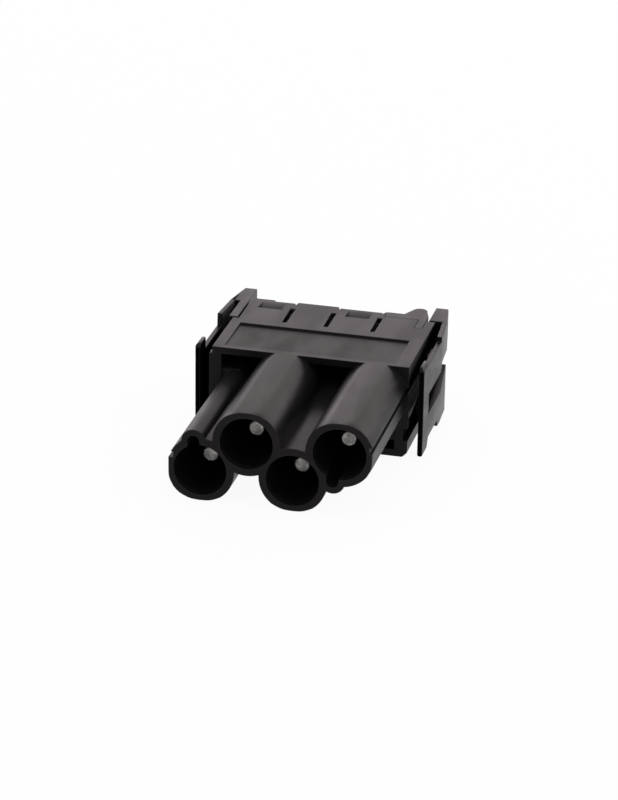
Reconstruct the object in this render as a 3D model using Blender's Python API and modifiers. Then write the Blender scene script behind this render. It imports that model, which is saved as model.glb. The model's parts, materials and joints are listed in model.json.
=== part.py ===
"""Four-way power connector insert: a moulded shell with four shrouded pins and side latches.

Units are metres, +Z is up and the pins point along -Y. Sizes are set in a design frame whose
Y = 0 is the shell's front plane and whose Z = 0 is its mid height. Everything hangs on one
empty that puts the origin under the middle of the whole object, at the bottom.
"""
import math

import bmesh
import bpy
from mathutils import Matrix, Vector

# Fits
CLEARANCE = 0.0003
OVERSHOOT = 0.001
WELD = 0.000001
ROUND_SIDES = 48
SMALL_SIDES = 28
CORNER_DEG = 35.0

# Shell and its four shroud tubes
MODULE_HEIGHT = 0.0146
SHELL_DEPTH = 0.0206
TUBE_PITCH = 0.0069
TUBE_BORE_R = 0.00395
TUBE_WALL = 0.00112
TUBE_FLAT_WALL = 0.00083
TUBE_LENGTH = 0.0229
TUBE_BORE_DEPTH = 0.0205
TUBE_CROWN_DROP = 0.00004
SIDE_MARGIN = 0.00027
BOTTOM_CHAMFER = 0.0007
FRONT_ROOF = 0.00114
FRONT_SIDE_WALL = 0.0020
FRONT_POCKET_DEPTH = 0.009
BULKHEAD = 0.002
REAR_ROOF = 0.00085
REAR_SIDE_WALL = 0.0020

# Collar round the shell's front, the left side's recess and the snap pocket in each side
COLLAR_DEPTH = 0.0016
LEFT_RECESS = 0.0005
LEFT_RECESS_HEIGHT = 0.00376
LEFT_COLLAR_DROP = 0.00115
SNAP_POCKET_DEPTH = 0.0007
SNAP_POCKET_LIFT = 0.0027
SNAP_POCKET_HEIGHT = 0.0019
SNAP_POCKET_RAMP = 0.0024
SNAP_POCKET_LENGTH = 0.0080
SNAP_POCKET_LIP = 0.0005

# Keying ribs with their webs, and side grooves, on the first and last tubes
KEY_WIDTH = 0.0018
KEY_OFFSET = 0.0010
KEY_REACH = 0.0053
KEY_WALL = 0.00095
RIB_SETBACK = 0.00005
WEB_SETBACK = 0.00025
WEB_PAST_KEY = 0.0007
FIRST_WEB_REACH = 0.0063
LAST_WEB_REACH = 0.0073
FLANK_SPREAD = 0.0043
FLANK_FOOT = 0.0027
GROOVE_WIDTH = 0.00095
GROOVE_STOP = 0.0003
FIRST_GROOVE_LIFT = 0.0015
FIRST_GROOVE_DEPTH = 0.0007
LAST_GROOVE_LIFT = 0.0006
LAST_GROOVE_DEPTH = 0.0004

# Top face: ramped panel, slots between the chambers, stepped back edge and two pockets
PANEL_MARGIN = 0.0022
PANEL_FRONT = 0.0010
PANEL_LENGTH = 0.0092
PANEL_FRONT_DROP = 0.00012
PANEL_DROP = 0.00042
SLOT_WIDTH = 0.00075
SLOT_LENGTH = 0.0056
SLOT_TO_BACK = 0.0028
SLOT_INTO_CARRIER = 0.0018
MIDDLE_SLOT_SHIFT = 0.0004
NOTCH_WIDTH = 0.0007
NOTCH_DEPTH = 0.0012
SHORT_EDGE = 0.00045
POCKET_WIDTH = 0.0037
POCKET_LENGTH = 0.0023
POCKET_TO_BACK = 0.0012
POCKET_DROP = 0.0006

# Contacts, turned from one bar
PIN_R = 0.00125
PIN_TIP_ROUND = 0.0003
PIN_TIP_SETBACK = 0.00584
FLANGE_R = 0.0024
FRONT_FLANGE = 0.0014
NECK_R = 0.0019
NECK_LENGTH = 0.0032
REAR_FLANGE = 0.0008
BARREL_R = 0.0022
BARREL_LENGTH = 0.0027
BARREL_BORE_R = 0.0016
BARREL_BORE_DEPTH = 0.0034
DRILL_POINT = 0.0008

# Retaining clips, rolled from strip
CLIP_STRIP = 0.0003
CLIP_OPENING_DEG = 60.0
LANCE_WIDTH = 0.0014
LANCE_FLARE = 0.00015

# Rear carrier
CARRIER_OVERHANG = 0.0019
CABLE_ENTRY_R = 0.0031

# Rear lock
LOCK_FROM_SLOT = 0.0005
LOCK_TO_BASE = 0.0004
LOCK_TO_BACK = 0.00175
FINGER_WIDTH = 0.00115
FINGER_REACH = 0.0036
FIN_ROOT = 0.0038
FIN_TIP_INSET = 0.0017
FIN_TIP_BACK = 0.0017
FIN_TIP_R = 0.00115
GUIDE_WIDTH = 0.0008
GUIDE_DROP = 0.0007
GUIDE_INSET = 0.0023

# Latch arms, with a ramped hollow in the outer face and a cleft behind it
LATCH_GAP = 0.00145
LATCH_THICKNESS = 0.0008
LATCH_FRONT = 0.0004
LATCH_PLATE_LENGTH = 0.0042
LATCH_TO_FLOOR = 0.00015
PLATE_TOP_DROP = 0.0001
NOSE = 0.0005
LEFT_LEAN = 0.00025
RIGHT_LEAN = 0.00045
LEAN_RISE = 1.4
TOE_SLOPE = 0.0010
SEAM_TO_BACK = 0.0018
STEP_TO_SEAM = 0.0059
RAIL_DROP_LEFT = 0.0019
RAIL_DROP_RIGHT = 0.00075
ARM_ROOT_INSET = 0.0004
HOLLOW_FRONT = 0.0039
HOLLOW_TOP = 0.0015
HOLLOW_BOTTOM = 0.0017
HOLLOW_DEPTH = 0.00055
CLEFT_TOP = 0.0026
CLEFT_LENGTH = 0.0047
CLEFT_TIP = 0.0002
CLEFT_MOUTH = 0.0021
LOWER_ARM_LIFT = 0.0015
LOWER_TAB_BACKSET = 0.0016
LOWER_TAB_LIFT = 0.0004
LOWER_TAB_RAMP = 0.0004

# Latch bases
BASE_BITE = 0.0011
BASE_REACH = 0.0038
BASE_REAR_INSET = 0.0010
TONGUE_LENGTH = 0.0064
TONGUE_ROOT = 0.0005
TONGUE_FLOOR = 0.0012
RIGHT_TONGUE_DROP = 0.0030
STRIP_PROUD = 0.00025

# Worked-out places, all in the design frame
HALF_HEIGHT = MODULE_HEIGHT / 2
TUBE_OUTER_R = TUBE_BORE_R + TUBE_WALL
TUBE_FLAT = TUBE_BORE_R + TUBE_FLAT_WALL
TUBE_RISE = HALF_HEIGHT - TUBE_FLAT - TUBE_CROWN_DROP
TUBE_CENTRES = [((i - 1.5) * TUBE_PITCH, TUBE_RISE if i % 2 else -TUBE_RISE) for i in range(4)]
MOUTH_Y = -TUBE_LENGTH
TUBES_HALF_WIDTH = 1.5 * TUBE_PITCH + TUBE_FLAT
HALF_WIDTH = TUBES_HALF_WIDTH + SIDE_MARGIN
LEFT_ROOF_EDGE = LEFT_RECESS - HALF_WIDTH
FRONT_POCKET_HALF_WIDTH = HALF_WIDTH - FRONT_SIDE_WALL
PANEL_HALF_WIDTH = HALF_WIDTH - PANEL_MARGIN
PANEL_BACK = PANEL_FRONT + PANEL_LENGTH
ABOVE = HALF_HEIGHT + OVERSHOOT
BEHIND = SHELL_DEPTH + OVERSHOOT
BULKHEAD_BACK = FRONT_POCKET_DEPTH + BULKHEAD
CAVITY_HALF_WIDTH = HALF_WIDTH - REAR_SIDE_WALL
CAVITY_HALF_HEIGHT = HALF_HEIGHT - REAR_ROOF
CARRIER_FRONT = BULKHEAD_BACK + CLEARANCE
CARRIER_BACK = SHELL_DEPTH + CARRIER_OVERHANG
CARRIER_TOP = CAVITY_HALF_HEIGHT - CLEARANCE
SLOT_BACK = SHELL_DEPTH - SLOT_TO_BACK
SLOT_FRONT = SLOT_BACK - SLOT_LENGTH
SLOT_CENTRES = [-TUBE_PITCH, -MIDDLE_SLOT_SHIFT, TUBE_PITCH]
CONTACT_TIP = MOUTH_Y + PIN_TIP_SETBACK
FLANGE_FRONT = CARRIER_FRONT
NECK_FRONT = FLANGE_FRONT + FRONT_FLANGE
NECK_BACK = NECK_FRONT + NECK_LENGTH
BARREL_FRONT = NECK_BACK + REAR_FLANGE
CONTACT_BACK = BARREL_FRONT + BARREL_LENGTH
CHAMBER_R = FLANGE_R + CLEARANCE
CLIP_INNER_R = NECK_R + CLEARANCE
CLIP_OUTER_R = CLIP_INNER_R + CLIP_STRIP
LANCE_ROOT_R = CLIP_INNER_R + CLIP_STRIP / 2
LANCE_TIP_R = LANCE_ROOT_R + LANCE_FLARE + CLIP_STRIP
BASE_INNER = HALF_WIDTH - BASE_BITE
LOCK_FRONT = SHELL_DEPTH - LOCK_TO_BACK
LOCK_LEFT = TUBE_PITCH + LOCK_FROM_SLOT
LOCK_RIGHT = BASE_INNER - LOCK_TO_BASE
GUIDE_LEFT = LOCK_RIGHT - GUIDE_INSET
GUIDE_FRONT = LOCK_FRONT + CLEARANCE
LATCH_INNER = HALF_WIDTH + LATCH_GAP
LATCH_OUTER = LATCH_INNER + LATCH_THICKNESS
SEAM_Y = SHELL_DEPTH - SEAM_TO_BACK
STEP_Y = SEAM_Y - STEP_TO_SEAM
ARM_BACK = SEAM_Y - CLEARANCE / 2
CLEFT_FRONT = ARM_BACK - CLEFT_LENGTH
PLATE_TOP = HALF_HEIGHT - PLATE_TOP_DROP
PLATE_BACK = LATCH_FRONT + LATCH_PLATE_LENGTH
TOE_BACK = PLATE_BACK - TOE_SLOPE
BASE_FRONT = SEAM_Y + CLEARANCE / 2
BASE_BACK = SHELL_DEPTH + BASE_REACH
BASE_FLOOR = CLEFT_TOP
TONGUE_FRONT = SEAM_Y - TONGUE_LENGTH
RIGHT_TONGUE_TOP = HALF_HEIGHT - RIGHT_TONGUE_DROP
ORIGIN_SHIFT = Vector((0.0, -(MOUTH_Y + BASE_BACK) / 2, HALF_HEIGHT))

for old in list(bpy.data.objects):
    bpy.data.objects.remove(old, do_unlink=True)

scene_root = bpy.context.scene.collection
parts = bpy.data.collections.new("power_connector_insert")
cutters = bpy.data.collections.new("cutters")
scene_root.children.link(parts)
scene_root.children.link(cutters)

frame_empty = bpy.data.objects.new("connector_frame", None)
frame_empty.location = ORIGIN_SHIFT
parts.objects.link(frame_empty)

# Directions in which a flat outline is extruded, as the axes of its own plane
OUTLINE_AXES = {
    "X": Matrix(((0, 0, 1), (1, 0, 0), (0, 1, 0))),
    "Y": Matrix(((1, 0, 0), (0, 0, -1), (0, 1, 0))),
    "Z": Matrix.Identity(3),
}


def add_object(name, mesh):
    obj = bpy.data.objects.new(name, mesh)
    cutters.objects.link(obj)
    obj.parent = frame_empty
    obj.hide_render = True
    obj.display_type = "WIRE"
    return obj


def box(name, low, high):
    """A block between two corners."""
    size = Vector(high) - Vector(low)
    middle = (Vector(high) + Vector(low)) / 2
    shape = bmesh.new()
    bmesh.ops.create_cube(shape, size=1.0)
    bmesh.ops.scale(shape, vec=size, verts=shape.verts)
    bmesh.ops.translate(shape, vec=middle, verts=shape.verts)
    mesh = bpy.data.meshes.new(name)
    shape.to_mesh(mesh)
    shape.free()
    return add_object(name, mesh)


def rod(name, centre, radius, front, back, sides=ROUND_SIDES):
    """A round bar along Y, at an X and Z centre."""
    shape = bmesh.new()
    length = back - front
    bmesh.ops.create_cone(shape, cap_ends=True, segments=sides, radius1=radius, radius2=radius, depth=length)
    bmesh.ops.rotate(shape, verts=shape.verts, cent=(0, 0, 0), matrix=Matrix.Rotation(math.pi / 2, 3, "X"))
    bmesh.ops.translate(shape, vec=(centre[0], (front + back) / 2, centre[1]), verts=shape.verts)
    mesh = bpy.data.meshes.new(name)
    shape.to_mesh(mesh)
    shape.free()
    return add_object(name, mesh)


def plate(name, outline, axis, low, high):
    """A flat outline, given in the plane across an axis, made solid between two places on it."""
    curve = bpy.data.curves.new(name, "CURVE")
    curve.dimensions = "2D"
    curve.fill_mode = "BOTH"
    curve.extrude = (high - low) / 2
    spline = curve.splines.new("POLY")
    spline.points.add(len(outline) - 1)
    for point, (u, v) in zip(spline.points, outline):
        point.co = (u, v, 0.0, 1.0)
    spline.use_cyclic_u = True
    guide = bpy.data.objects.new(name, curve)
    mesh = bpy.data.meshes.new_from_object(guide)
    bpy.data.objects.remove(guide, do_unlink=True)
    middle = Vector([(low + high) / 2 if letter == axis else 0.0 for letter in "XYZ"])
    mesh.transform(Matrix.Translation(middle) @ OUTLINE_AXES[axis].to_4x4())
    shape = bmesh.new()
    shape.from_mesh(mesh)
    bmesh.ops.remove_doubles(shape, verts=shape.verts, dist=WELD)
    bmesh.ops.recalc_face_normals(shape, faces=shape.faces)
    shape.to_mesh(mesh)
    shape.free()
    return add_object(name, mesh)


def arc(centre, radius, start_deg, end_deg, steps):
    """Points along an arc, from one angle to the other."""
    turns = [math.radians(start_deg + (end_deg - start_deg) * i / steps) for i in range(steps + 1)]
    return [(centre[0] + radius * math.cos(t), centre[1] + radius * math.sin(t)) for t in turns]


def combine(target, tool, operation):
    step = target.modifiers.new(tool.name, "BOOLEAN")
    step.operation = operation
    step.object = tool


def add(target, tool):
    combine(target, tool, "UNION")


def cut(target, tool):
    combine(target, tool, "DIFFERENCE")


def keep_common(target, tool):
    combine(target, tool, "INTERSECT")


def finish_material(name, colour, roughness, metallic):
    material = bpy.data.materials.new(name)
    material.use_nodes = True
    shader = material.node_tree.nodes["Principled BSDF"]
    shader.inputs["Base Color"].default_value = (*colour, 1.0)
    shader.inputs["Roughness"].default_value = roughness
    shader.inputs["Metallic"].default_value = metallic
    return material


def corner_shading():
    """A node tree that shades faces smooth and keeps the edges over the corner angle crisp."""
    tree = bpy.data.node_groups.new("corner_shading", "GeometryNodeTree")
    for direction in ("INPUT", "OUTPUT"):
        tree.interface.new_socket("Geometry", in_out=direction, socket_type="NodeSocketGeometry")
    start = tree.nodes.new("NodeGroupInput")
    faces = tree.nodes.new("GeometryNodeSetShadeSmooth")
    edges = tree.nodes.new("GeometryNodeSetShadeSmooth")
    edges.domain = "EDGE"
    edges.inputs["Shade Smooth"].default_value = False
    edge_angle = tree.nodes.new("GeometryNodeInputMeshEdgeAngle")
    is_corner = tree.nodes.new("FunctionNodeCompare")
    is_corner.operation = "GREATER_THAN"
    is_corner.inputs[1].default_value = math.radians(CORNER_DEG)
    end = tree.nodes.new("NodeGroupOutput")
    tree.links.new(start.outputs[0], faces.inputs["Geometry"])
    tree.links.new(faces.outputs[0], edges.inputs["Geometry"])
    tree.links.new(edge_angle.outputs["Unsigned Angle"], is_corner.inputs[0])
    tree.links.new(is_corner.outputs[0], edges.inputs["Selection"])
    tree.links.new(edges.outputs[0], end.inputs[0])
    return tree


def make_part(obj, material):
    """Moves a finished piece from the cutters to the parts, with its shading and its material."""
    cutters.objects.unlink(obj)
    parts.objects.link(obj)
    obj.hide_render = False
    obj.display_type = "TEXTURED"
    obj.data.materials.clear()
    obj.data.materials.append(material)
    shading = obj.modifiers.new("corner_shading", "NODES")
    shading.node_group = corner_tree


def set_origin(obj, point):
    """Puts a piece's origin on its joint, with its shape left where it is."""
    obj.data.transform(Matrix.Translation(-Vector(point)))
    obj.location = point


def shell_section():
    """The shell's outline seen from the front, with chamfered bottom edges."""
    c = BOTTOM_CHAMFER
    return [
        (-HALF_WIDTH + c, -HALF_HEIGHT),
        (HALF_WIDTH - c, -HALF_HEIGHT),
        (HALF_WIDTH, -HALF_HEIGHT + c),
        (HALF_WIDTH, HALF_HEIGHT),
        (-HALF_WIDTH, HALF_HEIGHT),
        (-HALF_WIDTH, -HALF_HEIGHT + c),
    ]


def key_outline(centre, side, half_width):
    """A U-shaped key seen from the front, on a tube's upper side for +1 and its lower side for -1."""
    x = centre[0] - KEY_OFFSET
    round_z = centre[1] + side * (KEY_REACH - KEY_WIDTH / 2)
    crown = arc((x, round_z), half_width, 0, side * 180, 12)
    return [(x + half_width, centre[1]), *crown, (x - half_width, centre[1])]


def flank_outline():
    """The web that fills in between the first tube and the outer side of its key rib."""
    x, z = TUBE_CENTRES[0]
    key_x = x - KEY_OFFSET
    key_left = key_x - KEY_WIDTH / 2 - KEY_WALL
    return [
        (key_left, z + KEY_REACH - KEY_WIDTH / 2),
        (x - FLANK_SPREAD, z + FLANK_FOOT),
        (x - TUBE_BORE_R, z + FLANK_FOOT - TUBE_FLAT_WALL),
        (key_x, z + TUBE_BORE_R),
    ]


def make_shell(material):
    shell = plate("front_shell", shell_section(), "Y", 0.0, SHELL_DEPTH)
    pocket_x = FRONT_POCKET_HALF_WIDTH
    pocket_z = HALF_HEIGHT - FRONT_ROOF
    pocket_low = (-pocket_x, -OVERSHOOT, -pocket_z)
    cut(shell, box("front_pocket", pocket_low, (pocket_x, FRONT_POCKET_DEPTH, pocket_z)))

    tube_back = FRONT_POCKET_DEPTH + BULKHEAD / 2
    rib_front = MOUTH_Y + RIB_SETBACK
    tubes = rod("tubes", TUBE_CENTRES[0], TUBE_OUTER_R, MOUTH_Y, tube_back)
    for i, centre in enumerate(TUBE_CENTRES[1:], 2):
        add(tubes, rod(f"tube_{i}", centre, TUBE_OUTER_R, MOUTH_Y, tube_back))
    envelope_low = (-TUBES_HALF_WIDTH, MOUTH_Y - OVERSHOOT, -TUBE_RISE - TUBE_FLAT)
    envelope_high = (TUBES_HALF_WIDTH, tube_back + OVERSHOOT, TUBE_RISE + TUBE_FLAT)
    keep_common(tubes, box("tube_envelope", envelope_low, envelope_high))
    add(shell, tubes)
    keyed_tubes = (("first", TUBE_CENTRES[0], 1), ("last", TUBE_CENTRES[3], -1))
    for name, centre, side in keyed_tubes:
        rib = key_outline(centre, side, KEY_WIDTH / 2 + KEY_WALL)
        add(shell, plate(name + "_key_rib", rib, "Y", rib_front, tube_back - RIB_SETBACK))
    flank_front = rib_front + RIB_SETBACK
    add(shell, plate("first_flank", flank_outline(), "Y", flank_front, tube_back - 2 * RIB_SETBACK))
    web_back = tube_back - 3 * RIB_SETBACK
    add(shell, key_web("first_web", TUBE_CENTRES[0], FIRST_WEB_REACH, web_back))
    add(shell, key_web("last_web", TUBE_CENTRES[3], -LAST_WEB_REACH, web_back))
    cut_groove(shell, "first_groove", TUBE_CENTRES[0], FIRST_GROOVE_LIFT, FIRST_GROOVE_DEPTH, -GROOVE_STOP)
    cut_groove(shell, "last_groove", TUBE_CENTRES[3], LAST_GROOVE_LIFT, LAST_GROOVE_DEPTH, TONGUE_FRONT)

    bore_back = MOUTH_Y + TUBE_BORE_DEPTH
    hole_front = bore_back - OVERSHOOT
    hole_back = BULKHEAD_BACK + OVERSHOOT
    for i, centre in enumerate(TUBE_CENTRES, 1):
        cut(shell, rod(f"bore_{i}", centre, TUBE_BORE_R, MOUTH_Y - OVERSHOOT, bore_back))
        cut(shell, rod(f"pin_hole_{i}", centre, PIN_R + CLEARANCE, hole_front, hole_back, SMALL_SIDES))
    for name, centre, side in keyed_tubes:
        way = key_outline(centre, side, KEY_WIDTH / 2)
        cut(shell, plate(name + "_key_way", way, "Y", MOUTH_Y - OVERSHOOT, bore_back - RIB_SETBACK))

    cavity_low = (-CAVITY_HALF_WIDTH, BULKHEAD_BACK, -CAVITY_HALF_HEIGHT)
    cut(shell, box("rear_cavity", cavity_low, (CAVITY_HALF_WIDTH, BEHIND, CAVITY_HALF_HEIGHT)))
    cut_panels(shell)
    cut_shell_top(shell)
    cut_shell_sides(shell)
    make_part(shell, material)
    return shell


def key_web(name, centre, reach, back):
    """The web in the front pocket that ties a keyed tube's rib to the side wall, up or down to a reach."""
    key_x = centre[0] - KEY_OFFSET + WEB_PAST_KEY
    wall_x = math.copysign(FRONT_POCKET_HALF_WIDTH + FRONT_SIDE_WALL / 2, centre[0])
    low_x, high_x = sorted((key_x, wall_x))
    low_z, high_z = sorted((centre[1], centre[1] + reach))
    return box(name, (low_x, WEB_SETBACK, low_z), (high_x, back, high_z))


def cut_groove(shell, name, centre, lift, depth, back):
    """A groove along the outer side of the first or the last tube, above its middle."""
    side = math.copysign(1.0, centre[0])
    low_x, high_x = sorted((side * (TUBES_HALF_WIDTH - depth), side * (HALF_WIDTH + OVERSHOOT)))
    low_z = centre[1] + lift
    low = (low_x, MOUTH_Y - OVERSHOOT, low_z)
    cut(shell, box(name, low, (high_x, back, low_z + GROOVE_WIDTH)))


def cut_panels(shell):
    """A shallow ramped panel in the top face and its twin in the bottom face."""
    for name, side in (("top", 1), ("bottom", -1)):
        ramp = [
            (PANEL_FRONT, side * (HALF_HEIGHT - PANEL_FRONT_DROP)),
            (PANEL_BACK, side * (HALF_HEIGHT - PANEL_DROP)),
            (PANEL_BACK, side * ABOVE),
            (PANEL_FRONT, side * ABOVE),
        ]
        cut(shell, plate(name + "_panel", ramp, "X", -PANEL_HALF_WIDTH, PANEL_HALF_WIDTH))


def cut_shell_top(shell):
    """Slots between the chambers, the stepped back edge, pockets and the place for the rear lock."""
    roof_low = CAVITY_HALF_HEIGHT - OVERSHOOT
    for i, x in enumerate(SLOT_CENTRES, 1):
        low = (x - SLOT_WIDTH / 2, SLOT_FRONT, roof_low)
        cut(shell, box(f"slot_{i}", low, (x + SLOT_WIDTH / 2, SLOT_BACK, ABOVE)))
    short_edges = ((TUBE_CENTRES[0][0], -TUBE_PITCH), (0.0, TUBE_PITCH))
    for i, (low_x, high_x) in enumerate(short_edges, 1):
        low = (low_x, SHELL_DEPTH - SHORT_EDGE, roof_low)
        cut(shell, box(f"short_edge_{i}", low, (high_x, BEHIND, ABOVE)))
    for i in (-1, 0, 1):
        x = i * TUBE_PITCH
        notch = [
            (x, SHELL_DEPTH - NOTCH_DEPTH),
            (x + NOTCH_WIDTH / 2, BEHIND),
            (x - NOTCH_WIDTH / 2, BEHIND),
        ]
        cut(shell, plate(f"notch_{i + 2}", notch, "Z", roof_low, ABOVE))
    pocket_back = SHELL_DEPTH - POCKET_TO_BACK
    pocket_front = pocket_back - POCKET_LENGTH
    slope = [
        (pocket_back, HALF_HEIGHT),
        (pocket_back, ABOVE),
        (pocket_front, ABOVE),
        (pocket_front, HALF_HEIGHT - POCKET_DROP),
    ]
    for i in (0, 2):
        x = TUBE_CENTRES[i][0]
        cut(shell, plate(f"pocket_{i + 1}", slope, "X", x - POCKET_WIDTH / 2, x + POCKET_WIDTH / 2))
    bed_low = (LOCK_LEFT - CLEARANCE, LOCK_FRONT - CLEARANCE, roof_low)
    cut(shell, box("lock_bed", bed_low, (HALF_WIDTH + OVERSHOOT, BEHIND, ABOVE)))
    cut(shell, plate("finger_bed", finger_outline(CLEARANCE), "Z", roof_low, ABOVE))


def finger_outline(margin):
    """The rear lock's forward finger, seen from above, grown by a margin."""
    half = FINGER_WIDTH / 2
    x = LOCK_RIGHT - half
    tip = arc((x, LOCK_FRONT - FINGER_REACH + half), half + margin, 0, -180, 8)
    root_y = LOCK_FRONT + half
    return [(x + half + margin, root_y), *tip, (x - half - margin, root_y)]


def cut_shell_sides(shell):
    """The left recess and low collar, and on each side a snap pocket and the bed of the latch base."""
    outside = HALF_WIDTH + OVERSHOOT
    recess_low = (-outside, COLLAR_DEPTH, HALF_HEIGHT - LEFT_RECESS_HEIGHT)
    cut(shell, box("left_recess", recess_low, (LEFT_ROOF_EDGE, BEHIND, ABOVE)))
    collar_low = (-outside, -OVERSHOOT, HALF_HEIGHT - LEFT_COLLAR_DROP)
    cut(shell, box("left_collar_drop", collar_low, (LEFT_ROOF_EDGE, COLLAR_DEPTH + OVERSHOOT, ABOVE)))
    for side in (-1, 1):
        cut_snap_pocket(shell, side)
        bed_top = ABOVE if side < 0 else RIGHT_TONGUE_TOP + CLEARANCE
        low_x, high_x = sorted((side * (BASE_INNER - CLEARANCE), side * outside))
        tongue_low = (low_x, TONGUE_FRONT - CLEARANCE, TONGUE_FLOOR - CLEARANCE)
        cut(shell, box(f"tongue_bed_{side}", tongue_low, (high_x, BEHIND, bed_top)))
        block_low = (low_x, BASE_FRONT - CLEARANCE, BASE_FLOOR - CLEARANCE)
        cut(shell, box(f"block_bed_{side}", block_low, (high_x, BEHIND, ABOVE)))


def cut_snap_pocket(shell, side):
    """A pocket low in a side wall, open to the front, with a ramp above it behind a thin lip."""
    floor = SNAP_POCKET_LIFT - HALF_HEIGHT
    top = floor + SNAP_POCKET_HEIGHT
    deep_x = HALF_WIDTH - SNAP_POCKET_DEPTH
    outside = HALF_WIDTH + OVERSHOOT
    low_x, high_x = sorted((side * deep_x, side * outside))
    pocket_low = (low_x, -OVERSHOOT, floor)
    cut(shell, box(f"snap_pocket_{side}", pocket_low, (high_x, SNAP_POCKET_LENGTH, top)))
    ramp_x = deep_x + RIB_SETBACK
    ramp_rise = SNAP_POCKET_RAMP * (outside - ramp_x) / (HALF_WIDTH - ramp_x)
    middle = (floor + top) / 2
    ramp = [(ramp_x, middle), (outside, middle), (outside, top + ramp_rise), (ramp_x, top)]
    ramp = [(side * x, z) for x, z in ramp]
    ramp_back = SNAP_POCKET_LENGTH - RIB_SETBACK
    cut(shell, plate(f"snap_ramp_{side}", ramp, "Y", SNAP_POCKET_LIP, ramp_back))


def make_carrier(material):
    """The block that holds the contacts, with a stepped chamber and a cable entry for each."""
    half_width = CAVITY_HALF_WIDTH - CLEARANCE
    carrier_low = (-half_width, CARRIER_FRONT, -CARRIER_TOP)
    carrier = box("rear_carrier", carrier_low, (half_width, CARRIER_BACK, CARRIER_TOP))
    behind = CARRIER_BACK + OVERSHOOT
    groove_front = NECK_FRONT - CLEARANCE
    groove_back = NECK_BACK + CLEARANCE
    groove_r = LANCE_TIP_R + CLEARANCE
    for i, centre in enumerate(TUBE_CENTRES, 1):
        cut(carrier, rod(f"chamber_{i}", centre, CHAMBER_R, CARRIER_FRONT - OVERSHOOT, behind, SMALL_SIDES))
        cut(carrier, rod(f"clip_groove_{i}", centre, groove_r, groove_front, groove_back, SMALL_SIDES))
        cut(carrier, rod(f"entry_{i}", centre, CABLE_ENTRY_R, CONTACT_BACK + CLEARANCE, behind, SMALL_SIDES))
    above = CARRIER_TOP + OVERSHOOT
    for i, x in enumerate(SLOT_CENTRES, 1):
        low = (x - SLOT_WIDTH / 2, SLOT_FRONT, CARRIER_TOP - SLOT_INTO_CARRIER)
        cut(carrier, box(f"carrier_slot_{i}", low, (x + SLOT_WIDTH / 2, SLOT_BACK, above)))
    guide_floor = CAVITY_HALF_HEIGHT - GUIDE_DROP - CLEARANCE
    guide_low = (GUIDE_LEFT - CLEARANCE, GUIDE_FRONT - CLEARANCE, guide_floor)
    cut(carrier, box("guide_groove", guide_low, (GUIDE_LEFT + GUIDE_WIDTH + CLEARANCE, behind, above)))
    make_part(carrier, material)
    return carrier


def make_lock(material):
    """A flush bar in the shell's roof with a finger in front, a grip fin behind and a guide below."""
    back = SHELL_DEPTH
    fin_tip = (LOCK_RIGHT - FIN_TIP_INSET, back + FIN_TIP_BACK)
    outline = [
        (LOCK_LEFT, LOCK_FRONT),
        (LOCK_RIGHT, LOCK_FRONT),
        (LOCK_RIGHT, back),
        *arc(fin_tip, FIN_TIP_R, 0, 150, 8),
        (LOCK_RIGHT - FIN_ROOT, back),
        (LOCK_LEFT, back),
    ]
    lock = plate("rear_lock", outline, "Z", CAVITY_HALF_HEIGHT, HALF_HEIGHT)
    add(lock, plate("lock_finger", finger_outline(0.0), "Z", CAVITY_HALF_HEIGHT, HALF_HEIGHT))
    guide_low = (GUIDE_LEFT, GUIDE_FRONT, CAVITY_HALF_HEIGHT - GUIDE_DROP)
    add(lock, box("lock_guide", guide_low, (GUIDE_LEFT + GUIDE_WIDTH, back, HALF_HEIGHT - REAR_ROOF / 2)))
    make_part(lock, material)
    return lock


def arm_side_outline(rail_drop):
    """A latch arm seen from the side, as Y and Z points: plate, lower arm, cleft and upper arm."""
    top = HALF_HEIGHT
    floor = LATCH_TO_FLOOR - HALF_HEIGHT
    tab_front = STEP_Y - LOWER_TAB_BACKSET
    return [
        (LATCH_FRONT, floor),
        (TOE_BACK, floor),
        (PLATE_BACK, floor + LOWER_ARM_LIFT),
        (tab_front - LOWER_TAB_RAMP, floor + LOWER_ARM_LIFT),
        (tab_front, floor + LOWER_TAB_LIFT),
        (ARM_BACK, floor),
        (ARM_BACK, CLEFT_TOP - CLEFT_MOUTH),
        (CLEFT_FRONT, CLEFT_TOP - CLEFT_TIP),
        (CLEFT_FRONT, CLEFT_TOP),
        (ARM_BACK, CLEFT_TOP),
        (ARM_BACK, top),
        (STEP_Y, top),
        (STEP_Y, top - rail_drop),
        (TOE_BACK, top - rail_drop),
        (TOE_BACK, PLATE_TOP),
        (LATCH_FRONT + NOSE, PLATE_TOP),
        (LATCH_FRONT, PLATE_TOP - NOSE),
    ]


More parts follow.
